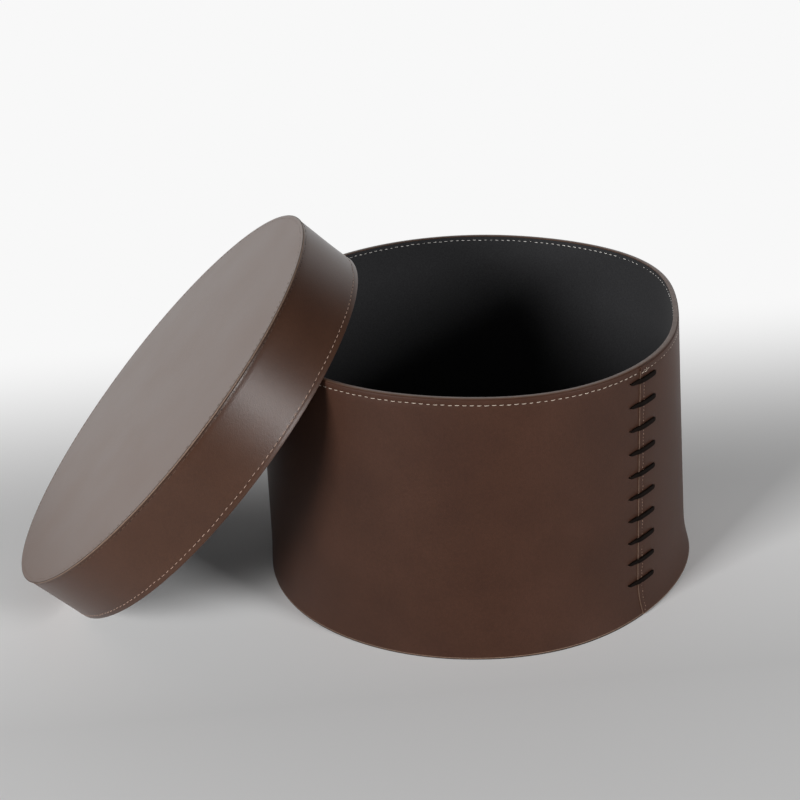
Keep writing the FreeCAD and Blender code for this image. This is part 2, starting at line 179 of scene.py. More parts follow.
@dataclass(frozen=True)
class GrainLeather(Finish):
    """Full-grain cowhide, dyed through and glazed: satin, with soft clouds of tone, creases and pores."""
    light: str
    dark: str
    cloud_mm: float = 70.0
    crease_mm: float = 2.6   # the real grain is under 1 mm across; this coarser one still shows in a render
    pore_mm: float = 1.1     # coarser than real pores for the same reason
    relief: float = 0.10
    shine: float = 0.40

    def paint(self, tree: bpy.types.NodeTree, shader: bpy.types.Node) -> None:
        """Clouds tint the colour, the grain breaks it up finely, and both vary the gloss.

        Args:
            tree: The material's node tree.
            shader: Its shader node.
        """
        at = self.coordinates(tree)
        clouds = add_node(tree, "ShaderNodeTexNoise", {"Vector": at},
                          {"Scale": per_metre(self.cloud_mm), "Detail": 3.0, "Roughness": 0.55})
        grain = add_node(tree, "ShaderNodeTexNoise", {"Vector": at},
                         {"Scale": per_metre(self.crease_mm), "Detail": 4.0, "Roughness": 0.62,
                          "Distortion": 0.6})
        pores = add_node(tree, "ShaderNodeTexVoronoi", {"Vector": at},
                         {"Scale": per_metre(self.pore_mm), "Randomness": 1.0}, feature="F1")
        tint = add_node(tree, "ShaderNodeValToRGB", {"Fac": clouds.outputs["Fac"]})
        tint.color_ramp.elements[0].position = 0.30
        tint.color_ramp.elements[0].color = linear(self.dark)
        tint.color_ramp.elements[1].position = 0.72
        tint.color_ramp.elements[1].color = linear(self.light)
        middle = tint.color_ramp.elements.new(0.5)
        middle.color = linear(self.colour)
        depth = spread_of(grain, tree, 0.90, 1.08)
        broken = add_node(tree, "ShaderNodeVectorMath", {0: tint.outputs["Color"], 1: depth},
                          operation="MULTIPLY")
        tree.links.new(broken.outputs["Vector"], shader.inputs["Base Color"])
        gloss = spread_of(clouds, tree, self.rough - 0.02, self.rough + 0.02)
        tree.links.new(gloss, shader.inputs["Roughness"])
        height = add_node(tree, "ShaderNodeMath", {0: grain.outputs["Fac"], 1: pores.outputs["Distance"]},
                          operation="ADD")
        bump = add_node(tree, "ShaderNodeBump", {"Height": height.outputs["Value"]},
                        {"Strength": self.relief, "Distance": 0.4 * MM})
        tree.links.new(bump.outputs["Normal"], shader.inputs["Normal"])
        shader.inputs["Specular IOR Level"].default_value = self.shine


@dataclass(frozen=True)
class Mottled(Finish):
    """A plain stuff with a speckle of its own size: leather edges and flesh side, suede, board, thread."""
    other: str
    speck_mm: float          # real fibres are finer; the speckle is as coarse as it needs to show
    relief: float
    nap: float = 0.0

    def paint(self, tree: bpy.types.NodeTree, shader: bpy.types.Node) -> None:
        """One noise mixes the two colours, roughens the gloss a little and raises the speckle.

        Args:
            tree: The material's node tree.
            shader: Its shader node.
        """
        at = self.coordinates(tree)
        specks = add_node(tree, "ShaderNodeTexNoise", {"Vector": at},
                          {"Scale": per_metre(self.speck_mm), "Detail": 5.0, "Roughness": 0.65})
        tint = add_node(tree, "ShaderNodeValToRGB", {"Fac": specks.outputs["Fac"]})
        tint.color_ramp.elements[0].position = 0.32
        tint.color_ramp.elements[0].color = linear(self.other)
        tint.color_ramp.elements[1].position = 0.68
        tint.color_ramp.elements[1].color = linear(self.colour)
        tree.links.new(tint.outputs["Color"], shader.inputs["Base Color"])
        gloss = spread_of(specks, tree, self.rough + 0.05, self.rough - 0.05)
        tree.links.new(gloss, shader.inputs["Roughness"])
        bump = add_node(tree, "ShaderNodeBump", {"Height": specks.outputs["Fac"]},
                        {"Strength": self.relief, "Distance": 0.3 * MM})
        tree.links.new(bump.outputs["Normal"], shader.inputs["Normal"])
        shader.inputs["Sheen Weight"].default_value = self.nap
        shader.inputs["Sheen Roughness"].default_value = 0.5


# Dyed and glazed cowhide: nearly matt on the wall, satin on the skirt, most polished on top. The skirt's
# colour is a touch lighter than the wall's, and the panel's is painted much lighter still, as a painted
# sheen.
WALL_HIDE = GrainLeather("wall full-grain cowhide", "#3e261b", 0.50, light="#42291e", dark="#3a2319",
                         shine=0.20)
LID_HIDE = GrainLeather("lid full-grain cowhide", "#432a1d", 0.36, light="#472d20", dark="#3f271b",
                        shine=0.38)
PANEL_SHEEN_HIDE = GrainLeather("panel cowhide with painted sheen", "#593d2c", 0.34, light="#5c402f", dark="#563a29",
                          shine=0.60)
# Raw cut leather: a dull, pale fibrous line.
CUT_EDGE = Mottled("cut leather edge", "#7f6858", 0.62, other="#634d3f", speck_mm=1.6, relief=0.25)
# Edges rubbed together with wax: smooth and brown, with a shine where they turn away.
BURNISHED = Mottled("burnished leather edge", "#5c4335", 0.38, other="#513a2e", speck_mm=6.0, relief=0.04)
# Edge dye and painted shade: a fine dark line on each bevel of the panel beside the pale cut, dye on the
# upper bevel and painted shade of the gap under the panel's overhang on the lower.
DYED_EDGE_AND_GAP_SHADE = Mottled("dyed edge and painted gap shade", "#22160f", 0.55, other="#1b110b", speck_mm=3.0, relief=0.05)
# The flesh side: rough and nappy, paler than the grain.
FLESH = Mottled("leather flesh side", "#6b4f3e", 0.85, other="#57402f", speck_mm=1.8, relief=0.45, nap=0.15)
# Pigskin suede: charcoal, quite without shine.
SUEDE = Mottled("charcoal pigskin suede", "#313133", 0.95, other="#272729", speck_mm=1.5, relief=0.30,
                nap=0.05)
# Plain leather under the base: dark and dull.
SOLE = Mottled("under leather", "#35281f", 0.70, other="#2a1f19", speck_mm=2.2, relief=0.30)
# Pressed board: grey-brown with a fibre speckle.
FIBREBOARD = Mottled("grey fibreboard", "#8d8170", 0.85, other="#766a5a", speck_mm=2.4, relief=0.20)
# Waxed linen thread: twisted, so that it looks speckled; the brown one blends into the leather. The dark one
# is painted shade for the thread under the panel's overhang, and the panel's ring row takes it too.
CREAM_THREAD = Mottled("waxed cream thread", "#cfc2b4", 0.60, other="#b0a192", speck_mm=0.9, relief=0.35)
PALE_THREAD = Mottled("waxed white thread", "#f2efeb", 0.60, other="#dcd8d2", speck_mm=0.9, relief=0.35)
TAN_THREAD = Mottled("waxed tan thread", "#b49a8a", 0.58, other="#937868", speck_mm=0.9, relief=0.35)
BROWN_THREAD = Mottled("waxed brown thread", "#a88c77", 0.60, other="#86695a", speck_mm=0.9, relief=0.35)
SHADED_DARK_THREAD = Mottled("waxed thread in painted shade", "#5d4535", 0.60, other="#463227", speck_mm=0.9, relief=0.35)
# Painted shade in the hole that a needle leaves: a dark cone beside each stitch.
NEEDLE_HOLE_SHADE = Mottled("painted needle-hole shade", "#1d1410", 0.90, other="#140d0a", speck_mm=1.0, relief=0.10)
# Dyed lace leather: nearly black and dull.
LACE = GrainLeather("black leather lace", "#0f0906", 0.75, light="#140c08", dark="#0b0604", cloud_mm=12.0,
                    shine=0.06)


def clear_bench() -> None:
    """Deselects everything, because an operator acts on all that is selected."""
    bpy.ops.object.select_all(action="DESELECT")


def take(*pieces: bpy.types.Object) -> None:
    """Selects only these pieces.

    Args:
        *pieces: The pieces, the first of which becomes the active one.
    """
    clear_bench()
    for piece in pieces:
        piece.select_set(True)
    bpy.context.view_layer.objects.active = pieces[0]


@contextmanager
def editing(piece: bpy.types.Object, what: str = "FACE") -> Iterator[None]:
    """Opens a piece in edit mode with nothing selected, and closes it again.

    Args:
        piece: The piece.
        what: The selection mode: "VERT", "EDGE" or "FACE".
    """
    take(piece)
    bpy.ops.object.mode_set(mode="EDIT")
    bpy.ops.mesh.select_mode(type=what)
    bpy.ops.mesh.select_all(action="DESELECT")
    yield
    bpy.ops.object.mode_set(mode="OBJECT")


def pick_faces(piece: bpy.types.Object, wanted: Callable[[Vector, Vector], bool]) -> int:
    """Selects faces of the piece in edit mode by their place or normal.

    Args:
        piece: The piece being edited.
        wanted: Tells from a face's middle and normal whether it is selected.

    Returns:
        How many faces are selected.
    """
    shape = bmesh.from_edit_mesh(piece.data)
    for face in shape.faces:
        face.select_set(wanted(face.calc_center_median(), face.normal))
    shape.select_flush_mode()
    bmesh.update_edit_mesh(piece.data)
    return piece.data.total_face_sel


def move_points(piece: bpy.types.Object, mapping: Callable[[Points], Points]) -> None:
    """Moves a piece's points.

    Args:
        piece: The piece, in object mode.
        mapping: Gives the new points from the old ones.
    """
    points = np.empty(len(piece.data.vertices) * 3)
    piece.data.vertices.foreach_get("co", points)
    piece.data.vertices.foreach_set("co", np.ascontiguousarray(mapping(points.reshape(-1, 3))).ravel())
    piece.data.update()


def apply_modifier(piece: bpy.types.Object, kind: str, **settings: object) -> None:
    """Adds a modifier with its settings and applies it.

    Args:
        piece: The piece.
        kind: The modifier's type.
        **settings: Attributes of the modifier.
    """
    take(piece)
    modifier = piece.modifiers.new(kind.lower(), kind)
    for name, setting in settings.items():
        setattr(modifier, name, setting)
    bpy.ops.object.modifier_apply(modifier=modifier.name)


def give_gauge(piece: bpy.types.Object, gauge: float) -> None:
    """Makes a flat piece this thick, down from its grain side."""
    apply_modifier(piece, "SOLIDIFY", thickness=gauge, offset=-1.0)


def wear_edges(piece: bpy.types.Object, width: float, segments: int = 2) -> None:
    """Bevels a piece's sharp edges by this width."""
    apply_modifier(piece, "BEVEL", width=width, segments=segments, limit_method="ANGLE", angle_limit=SHARP)


def repeat(piece: bpy.types.Object, count: int, step: tuple[float, float, float]) -> None:
    """Repeats a piece, each copy one step on from the last."""
    apply_modifier(piece, "ARRAY", count=count, use_relative_offset=False, use_constant_offset=True,
                   constant_offset_displace=step)


def fix_new(name: str, size: tuple[float, float, float] = (1.0, 1.0, 1.0)) -> bpy.types.Object:
    """Names the primitive that was just added and fixes its place, turn and size in its points.

    Args:
        name: The piece's name.
        size: How far it is stretched along each axis.

    Returns:
        The piece.
    """
    piece = bpy.context.object
    piece.name = piece.data.name = name
    piece.scale = size
    bpy.ops.object.transform_apply(location=True, rotation=True, scale=True)
    return piece


def settle_normals(piece: bpy.types.Object, angle: float = 40.0) -> None:
    """Turns every face outwards and shades the piece smooth where it isn't sharp.

    Args:
        piece: The piece.
        angle: The angle in degrees below which an edge is shaded smooth.
    """
    with editing(piece):
        bpy.ops.mesh.select_all(action="SELECT")
        bpy.ops.mesh.normals_make_consistent(inside=False)
    take(piece)
    bpy.ops.object.shade_smooth_by_angle(angle=math.radians(angle))


def give_finishes(piece: bpy.types.Object, *finishes: Finish) -> None:
    """Puts the finishes' materials on the piece, in order.

    Args:
        piece: The piece.
        *finishes: Its finishes.
    """
    piece.data.materials.clear()
    for finish in finishes:
        piece.data.materials.append(finish.material())


def paint_where(piece: bpy.types.Object, number: int, wanted: Callable[[Vector, Vector], bool]) -> None:
    """Gives the piece's finish of this number to some faces.

    Args:
        piece: The piece.
        number: The finish's place among the piece's finishes.
        wanted: Tells from a face's middle and normal whether it takes the finish.
    """
    with editing(piece):
        if pick_faces(piece, wanted):
            piece.active_material_index = number
            bpy.ops.object.material_slot_assign()


def round_off(piece: bpy.types.Object, wanted: Callable[[Vector], bool], width: float) -> None:
    """Rounds off the edges of a piece between points that are chosen by their place.

    Args:
        piece: The piece.
        wanted: Tells from a point's place whether its edges to other such points are rounded.
        width: How far the rounding reaches from the edge.
    """
    with editing(piece, "EDGE"):
        shape = bmesh.from_edit_mesh(piece.data)
        for edge in shape.edges:
            edge.select_set(all(wanted(point.co) for point in edge.verts))
        bmesh.update_edit_mesh(piece.data)
        bpy.ops.mesh.bevel(offset=width, segments=3, affect="EDGES")


def cut_strip(name: str, length: float, low: float, high: float,
              steps: tuple[float, float]) -> bpy.types.Object:
    """Cuts a flat strip of leather on the bench.

    Args:
        name: The piece's name.
        length: Its length along X, from zero.
        low: Its lower edge along Y.
        high: Its upper edge along Y.
        steps: About how far apart its points are, along and up.

    Returns:
        The strip, without a gauge yet.
    """
    clear_bench()
    bpy.ops.mesh.primitive_grid_add(x_subdivisions=round(length / steps[0]),
                                    y_subdivisions=round((high - low) / steps[1]),
                                    size=1.0, location=(length / 2, (low + high) / 2, 0.0))
    return fix_new(name, (length, high - low, 1.0))


def score(piece: bpy.types.Object, across: tuple[float, float, float], *marks: float) -> None:
    """Cuts lines of points right across a flat piece.

    Args:
        piece: The piece.
        across: The direction that the marks are measured along.
        *marks: How far along it each line lies.
    """
    with editing(piece):
        for mark in marks:
            bpy.ops.mesh.select_all(action="SELECT")
            bpy.ops.mesh.bisect(plane_co=tuple(mark * axis for axis in across), plane_no=across)


def press_groove(points: Points, axis: int, mark: float, depth: float) -> Points:
    """Presses a scored line below the surface, where thread pulls it in.

    Args:
        points: The piece's points.
        axis: The axis that the line's place is measured along.
        mark: The line's place.
        depth: How deep it goes.

    Returns:
        The moved points.
    """
    moved = points.copy()
    moved[np.abs(points[:, axis] - mark) < 0.05 * MM, 2] -= depth
    return moved


def punch(piece: bpy.types.Object, middle: tuple[float, float], wide: float, tall: float,
          lean: float) -> None:
    """Punches one leaning slot through a flat piece.

    Args:
        piece: The flat piece, before it has its gauge.
        middle: The slot's middle on the bench.
        wide: Its width.
        tall: Its height.
        lean: How far it leans, in degrees.
    """
    turn = math.radians(lean)
    along = Vector((math.cos(turn), math.sin(turn), 0.0))
    up = Vector((-math.sin(turn), math.cos(turn), 0.0))
    centre = Vector((*middle, 0.0))
    reach = 9.0 * MM

    def near(place: Vector, _normal: Vector) -> bool:
        """Tells whether a face is close to the slot."""
        return (place - centre).length < reach

    def inside(place: Vector, _normal: Vector) -> bool:
        """Tells whether a face lies within the slot."""
        arm = place - centre
        return abs(arm.dot(along)) < wide / 2 and abs(arm.dot(up)) < tall / 2

    with editing(piece):
        for direction, half in ((along, wide / 2), (up, tall / 2)):
            for side in (1, -1):
                pick_faces(piece, near)
                bpy.ops.mesh.bisect(plane_co=centre + direction * half * side, plane_no=direction)
        pick_faces(piece, inside)
        bpy.ops.mesh.delete(type="FACE")


def cut_disc(name: str, radius: float, low: float, gauge: float, bevel: float) -> bpy.types.Object:
    """Cuts a round disc with its gauge and rounded edges, about the Z axis.

    Args:
        name: The piece's name.
        radius: Its radius.
        low: The height of its underside.
        gauge: Its thickness.
        bevel: How far its edges are rounded.

    Returns:
        The disc.
    """
    clear_bench()
    bpy.ops.mesh.primitive_circle_add(vertices=192, radius=radius, fill_type="NGON",
                                      location=(0, 0, low + gauge))
    disc = fix_new(name)
    with editing(disc):
        bpy.ops.mesh.select_all(action="SELECT")
        for ring_width in (2.5 * MM, 2.5 * MM, 5 * MM, 20 * MM, 50 * MM):
            bpy.ops.mesh.inset(thickness=ring_width)
        bpy.ops.mesh.poke()
    give_gauge(disc, gauge)
    wear_edges(disc, bevel, segments=3)
    return disc


def hand_over(piece: bpy.types.Object, body: Body, slot: Slot | None, *nodes: str) -> None:
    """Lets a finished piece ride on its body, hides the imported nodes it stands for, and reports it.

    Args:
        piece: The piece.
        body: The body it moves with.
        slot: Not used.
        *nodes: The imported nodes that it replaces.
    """
    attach(piece, body.value)
    if nodes:
        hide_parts(*nodes)
    faces = len(piece.data.polygons)
    LOG.info("%s: %d faces on %s, for %s", piece.name, faces, body.value, nodes or "itself")


@dataclass(frozen=True)
class Lobe:
    """One place where the soft wall has settled out of round: angle and spread in degrees, pulls in metres.

    The wall is pulled out by one measure at its rim, another low down and a third at its very foot.
    """
    angle: float
    spread: float
    at_rim: float
    low_down: float
    at_foot: float


@dataclass(frozen=True)
class RolledForm:
    """How a flat strip is rolled up: its radius, its lap, its flare and the way it has settled."""
    radius: float
    seam: float
    step: float = 0.0
    lap: float = 40.0
    underlap: float = 20.0 * MM
    underlap_paring: float = 0.45
    underlap_sink: float = 0.75 * MM
    raw_edge_share: float = 0.53
    rim: float = 256.0 * MM
    foot: float = 1.6 * MM
    flare: float = 0.0
    flare_top: float = 40.0 * MM
    ripple: float = 0.0
    edge_sweep: float = 0.0
    sweep_height: float = 45.0 * MM
    sweep_reach: float = 30.0 * MM
    seam_lean: float = 0.0
    lobes: tuple[Lobe, ...] = ()
    place: tuple[tuple[float, ...], ...] = tuple(tuple(row) for row in Matrix.Identity(4))

    @property
    def round(self) -> float:
        """The length once round, at the radius."""
        return math.tau * self.radius

    def rise(self, along: Points) -> Points:
        """Tells how far the lapped flap stands proud along the strip.

        Args:
            along: Places along the strip.

        Returns:
            The outward steps.
        """
        lap = math.radians(self.lap)
        angle = np.clip(along / self.radius, 0.0, lap)
        return np.where(along < 0, 0.0, self.step * np.sin(lap - angle) / math.sin(lap))

    def settle(self, angle: Points, height: Points) -> Points:
        """Returns how far the wall stands off its round, with its flare.

        Args:
            angle: Angles about the axis, in radians.
            height: Heights of the points.

        Returns:
            The outward offsets.
        """
        spread = np.clip((self.flare_top - height) / (self.flare_top - self.foot), 0.0, 1.1) ** 2
        up = (height - self.foot) / (self.rim - self.foot)
        offset = self.flare * spread
        for lobe in self.lobes:
            away = (np.degrees(angle) - lobe.angle + 180.0) % 360.0 - 180.0
            above, below = lobe.at_rim - lobe.low_down, lobe.at_foot - lobe.low_down
            pull = lobe.low_down + above * up + below * spread
            offset = offset + pull * np.exp(-(away / lobe.spread) ** 2)
        waves = np.sin(3 * angle + 9.0 * height + 0.6) + 0.7 * np.sin(7 * angle - 14.0 * height + 2.1)
        return offset + self.ripple * waves

    def roll(self, points: Points) -> Points:
        """Rolls bench points round the form.

        Args:
            points: Points along, up and out of the flat strip.

        Returns:
            The same points on the object.
        """
        along, height, out = points.T
        once = self.round
        whole = np.clip(along / self.underlap, 0.0, 1.0)
        thin = self.raw_edge_share + (1.0 - self.raw_edge_share) * whole
        thin = np.where((along < 0) | (self.step == 0), 1.0, thin)
        under = np.clip((along - once) / self.underlap, 0.0, 1.0) * (self.step > 0)
        depth = np.where(out < 0, out * thin * (1.0 - self.underlap_paring * under), out)
        depth = depth - self.underlap_sink * under
        sweep = self.edge_sweep * np.clip(1.0 - height / self.sweep_height, 0.0, 1.0) ** 2
        near_seam = np.clip(1.0 - np.abs(along) / self.sweep_reach, 0.0, 1.0) * (along > -1.0 * MM)
        swept = along + sweep * near_seam - self.seam_lean * (height / self.rim - 0.5)
        angle = math.radians(self.seam) + swept / self.radius
        proud = np.where(along > once, 0.0, self.rise(along))
        reach = self.radius + proud + depth + self.settle(angle, height)
        return self.put(np.stack([reach * np.cos(angle), reach * np.sin(angle), height], axis=1))

    def slump(self, points: Points) -> Points:
        """Lets a flat disc inside the wall follow the wall's settled outline.

        Args:
            points: The disc's points.

        Returns:
            The moved points.
        """
        angle = np.arctan2(points[:, 1], points[:, 0])
        share = np.clip(np.hypot(points[:, 0], points[:, 1]) / self.radius, 0.0, 1.05) ** 4
        offset = self.settle(angle, points[:, 2]) * share
        moved = points.copy()
        moved[:, 0] += offset * np.cos(angle)
        moved[:, 1] += offset * np.sin(angle)
        return moved

    def put(self, points: Points) -> Points:
        """Places points of the upright form in the shared frame."""
        place = np.array(self.place)
        return points @ place[:3, :3].T + place[:3, 3]


def roll_up(piece: bpy.types.Object, form: RolledForm, ring: bool = False) -> None:
    """Rolls a flat piece round a form.

    Args:
        piece: The flat piece.
        form: The form.
        ring: Whether the two ends meet and are welded into a closed ring.
    """
    if ring:
        with editing(piece):
            pick_faces(piece, lambda _place, normal: abs(normal.x) > 0.5)
            bpy.ops.mesh.delete(type="FACE")
    move_points(piece, form.roll)
    if ring:
        with editing(piece, "VERT"):
            bpy.ops.mesh.select_all(action="SELECT")
            bpy.ops.mesh.remove_doubles(threshold=0.02 * MM)
    settle_normals(piece)


@dataclass
class Stitching:
    """Saddle stitching: one stitch and a dark cone of painted shade for its hole are modelled, repeated along
    a row and sewn down.
    """
    finish: Finish
    pitch: float = 6.0 * MM
    length: float = 4.1 * MM
    thread: float = 0.72 * MM
    hole: float = 1.0 * MM
    arch: float = 0.30 * MM
    unevenness: float = 0.14 * MM
    sink: float = 0.16 * MM
    narrowing: float = 0.35
    end_dive: float = 0.75 * MM
    hole_depth: float = 0.24 * MM
    slant: tuple[float, float] = (0.05, 0.035)
    stretch: float = 0.04

    def one_stitch(self, name: str) -> bpy.types.Object:
        """Models a thread that dives at both ends, with a dark cone of painted shade for its hole beside it.

        Args:
            name: The piece's name.

        Returns:
            The stitch along X at the origin.
        """
        clear_bench()
        bpy.ops.mesh.primitive_cylinder_add(vertices=6, radius=self.thread / 2, depth=self.length,
                                            rotation=(0.0, math.pi / 2, 0.0))
        stitch = fix_new(name)
        shoulder = 0.32 * self.length
        score(stitch, ALONG, -shoulder, 0.0, shoulder)
        give_finishes(stitch, self.finish)

        def pull_tight(points: Points) -> Points:
            """Arches the thread, and narrows and sinks its ends.

            Args:
                points: The straight stitch's points.

            Returns:
                The moved points.
            """
            share = np.abs(points[:, 0]) / (self.length / 2)
            narrow = 1.0 - self.narrowing * share ** 2
            moved = points.copy()
            moved[:, 1] *= narrow
            moved[:, 2] = points[:, 2] * narrow + self.arch - self.end_dive * share ** 3
            return moved

        move_points(stitch, pull_tight)
        clear_bench()
        bpy.ops.mesh.primitive_cone_add(vertices=6, radius1=self.hole / 2, radius2=self.hole / 4,
                                        depth=self.hole_depth,
                                        location=(self.pitch / 2, 0.0, -self.hole_depth / 4))
        # The dark cone is painted shade inside the hole.
        shade_cone = fix_new("needle_hole_shade")
        give_finishes(shade_cone, NEEDLE_HOLE_SHADE)
        take(stitch, shade_cone)
        bpy.ops.object.join()
        return stitch

    def sew(self, name: str, form: RolledForm, run: Run, start: float, line: float, count: int,
            lift: float = 0.0, pitch: float = 0.0, side: float = 1.0) -> bpy.types.Object:
        """Sews a row of stitches.

        Args:
            name: The piece's name.
            form: The form that the leather is rolled on.
            run: How the row lies.
            start: Where the row's first stitch is, along the row.
            line: The row's height on the wall, its place round it, or its radius on a panel.
            count: How many stitches it has.
            lift: How far out of the grain side the thread lies.
            pitch: The spacing, where it isn't the usual one.
            side: 1 on the form's outside, -1 on its inside.

        Returns:
            The sewn row.
        """
        row = self.one_stitch(name)
        each = len(row.data.vertices)
        spacing = pitch or self.pitch
        repeat(row, count, (spacing, 0.0, 0.0))
        chance = np.random.default_rng(len(name) * 1000 + count)

        def lay_down(points: Points) -> Points:
            """Makes every stitch a little uneven and lays the row on the leather.

            Args:
                points: The points of the straight row.

            Returns:
                The moved points.
            """
            stitches = points.reshape(count, each, 3).copy()
            middle = np.arange(count)[:, None] * spacing
            local = stitches[:, :, 0] - middle
            slant = chance.normal(*self.slant, (count, 1))
            stitches[:, :, 0] = middle + local * chance.normal(1.0, self.stretch, (count, 1))
            stitches[:, :, 1] += local * slant + chance.normal(0.0, self.unevenness, (count, 1))
            stitches[:, :, 2] -= np.abs(chance.normal(0.0, self.sink, (count, 1)))
            x, y, z = stitches.reshape(-1, 3).T
            x, z = x + start, side * (z + lift)
            if run is Run.ROUND:
                return form.roll(np.stack([x, line + y, z], axis=1))
            if run is Run.UP:
                return form.roll(np.stack([line - y, x, z], axis=1))
            angle, reach = x / line, line - y
            return form.put(np.stack([reach * np.cos(angle), reach * np.sin(angle), z], axis=1))

        move_points(row, lay_down)
        settle_normals(row, 50.0)
        return row


@dataclass
class Box:
    """The open box: lapped and laced leather wall on a board hoop, suede lining, three-layer base."""
    rim_radius: float = 200.0 * MM
    rim_height: float = 256.0 * MM
    foot_lift: float = 1.6 * MM
    leather: float = 1.8 * MM
    board: float = 2.0 * MM
    lining: float = 0.8 * MM
    glue: float = 0.15 * MM
    layer_foot: float = 6.3 * MM
    base_radius: float = 200.2 * MM
    base_leather: float = 2.0 * MM
    base_board: float = 4.0 * MM
    base_bevel: float = 0.3 * MM
    # How far the dark sole reaches out under the wall, as painted shade of the gap.
    sole_shade_spread: float = 2.2 * MM
    flare: float = 2.8 * MM
    ripple: float = 0.25 * MM
    edge_sweep: float = 4.0 * MM
    seam_lean: float = 10.0 * MM
    seam: float = -51.4
    lap_step: float = 0.95 * MM
    lace_count: int = 10
    lace_pitch: float = 22.8 * MM
    lace_drop: float = 12.4 * MM
    lace_left: float = 12.4 * MM
    lace_right: float = 23.2 * MM
    hoop_left: float = 20.2 * MM
    hoop_right: float = 31.0 * MM
    lace_slant: float = -1.0
    lace_rise: float = 0.2 * MM
    lace_width: float = 4.8 * MM
    lace_gauge: float = 1.5 * MM
    slot_play: float = 0.6 * MM
    left_slot: float = 1.9 * MM
    right_slot: float = 3.2 * MM
    rim_round: float = 1.0 * MM
    rim_row: float = 5.2 * MM
    inside_row: float = 4.4 * MM
    seam_row: float = 5.2 * MM
    lobes: tuple[Lobe, ...] = (Lobe(280.5, 26.4, 6.1 * MM, -1.3 * MM, 2.2 * MM),
                               Lobe(350.8, 29.0, -11.0 * MM, 8.6 * MM, 10.3 * MM),
                               Lobe(23.6, 30.0, 9.0 * MM, 2.0 * MM, 2.0 * MM),
                               Lobe(201.2, 34.3, 0.6 * MM, 6.8 * MM, 4.6 * MM),
                               Lobe(264.5, 27.5, -4.1 * MM, -0.1 * MM, -3.4 * MM))
    thread: Stitching = field(default_factory=lambda: Stitching(CREAM_THREAD, thread=0.60 * MM))
    thread_start: float = 6.0 * MM
    thread_lift: float = -0.1 * MM
    tight_count: int = 34
    tight_lift: float = -0.42 * MM
    seam_start: float = 5.0 * MM
    seam_margin: float = 18.0 * MM
    seam_lift: float = -0.15 * MM
    inside_thread: Stitching = field(default_factory=lambda: Stitching(PALE_THREAD))
    fine_thread: Stitching = field(default_factory=lambda: Stitching(
        BROWN_THREAD, pitch=3.3 * MM, length=2.2 * MM, thread=0.6 * MM, hole=0.7 * MM, arch=0.25 * MM,
        unevenness=0.45 * MM))

    def form(self, radius: float, lapped: bool = False) -> RolledForm:
        """Gives the wall's form at a radius.

        Args:
            radius: The radius of the layer's outside.
            lapped: Whether the layer's ends lap.

        Returns:
            The form.
        """
        plain = RolledForm(radius, self.seam, flare=self.flare, ripple=self.ripple, lobes=self.lobes)
        if not lapped:
            return plain
        return replace(plain, step=self.lap_step, edge_sweep=self.edge_sweep, seam_lean=self.seam_lean)

    @property
    def wall_form(self) -> RolledForm:
        """The form of the outside leather."""
        return self.form(self.rim_radius, True)

    def build(self) -> None:
        """Builds the box's pieces in the order they would be made."""
        self.wall()
        self.lacing()
        self.hoop()
        self.suede_wall()
        self.base()
        self.rim_edge()
        self.rows()

    def stitch_height(self, number: int) -> float:
        """Returns the middle height of a cross stitch of the lace, counted from the rim."""
        return self.rim_height - self.lace_drop - number * self.lace_pitch

    def wall(self) -> None:
        """Cuts, scores, punches and rolls the outside leather."""
        form = self.wall_form
        hide = cut_strip("wall_hide", form.round + form.underlap, self.foot_lift, self.rim_height,
                         (5.0 * MM, 10.0 * MM))
        row = self.rim_height - self.rim_row
        # Top of the pale band at the foot: the grain side below it is a painted highlight.
        foot_highlight_top = self.foot_lift + 0.8 * MM
        score(hide, UP, foot_highlight_top, 4.0 * MM, 7.0 * MM, 15.0 * MM, row - GROOVE_HALF, row, row + GROOVE_HALF)
        score(hide, ALONG, self.seam_row - GROOVE_HALF, self.seam_row, self.seam_row + GROOVE_HALF)
        move_points(hide, lambda points: press_groove(points, 1, row, GROOVE_DEPTH))
        move_points(hide, lambda points: press_groove(points, 0, self.seam_row, GROOVE_DEPTH))
        wide = self.lace_gauge + self.slot_play
        for number in range(self.lace_count):
            height = self.stitch_height(number)
            right = (self.lace_right, height - self.lace_rise)
            left = (form.round - self.lace_left, height + self.lace_rise)
            punch(hide, right, wide, self.right_slot, self.lace_slant)
            punch(hide, left, wide, self.left_slot, self.lace_slant)
        give_gauge(hide, self.leather)
        rim, skin = self.rim_height - 0.1 * MM, -0.1 * MM
        round_off(hide, lambda place: place.y > rim and place.z > skin, self.rim_round)
        wear_edges(hide, EDGE_BEVEL)
        give_finishes(hide, WALL_HIDE, CUT_EDGE, FLESH)
        under_rim = self.rim_height - 2 * MM
        # Every face in the strip's lowest 0.8 mm takes the pale cut-edge colour: the cut edge at the foot is
        # pale in itself, and the grain side painted pale there is a painted highlight along the foot.
        paint_where(hide, 1, lambda place, normal: place.y < foot_highlight_top
                    or abs(normal.z) < FLAT and place.y < under_rim)
        paint_where(hide, 2, lambda _place, normal: normal.z < -FLAT)
        roll_up(hide, form)
        hand_over(hide, Body.BOX, Slot.BROWN, "wall_leather")

    def lacing(self) -> None:
        """Makes one cross stitch of the flat lace, repeats it down the seam and bends it over the lap."""
        length = self.lace_left + self.lace_right
        middle = (self.lace_right - self.lace_left) / 2
        dive = 2.6 * MM
        bend_from = 0.8 * MM
        climb_from = 5.0 * MM
        tip_from = 0.80
        uneven = 0.25 * MM
        clear_bench()
        bpy.ops.mesh.primitive_cube_add(size=1.0)
        lace = fix_new("seam_lace", (length + 2 * dive, self.lace_width, self.lace_gauge))
        score(lace, ALONG, *np.linspace(-0.5, 0.5, 25)[1:-1] * (length + 2 * dive))
        score(lace, UP, -0.2 * self.lace_width, 0.2 * self.lace_width)
        wear_edges(lace, 0.42 * MM)
        each = len(lace.data.vertices)
        repeat(lace, self.lace_count, (0.0, -self.lace_pitch, 0.0))
        chance = np.random.default_rng(41)
        form = self.wall_form

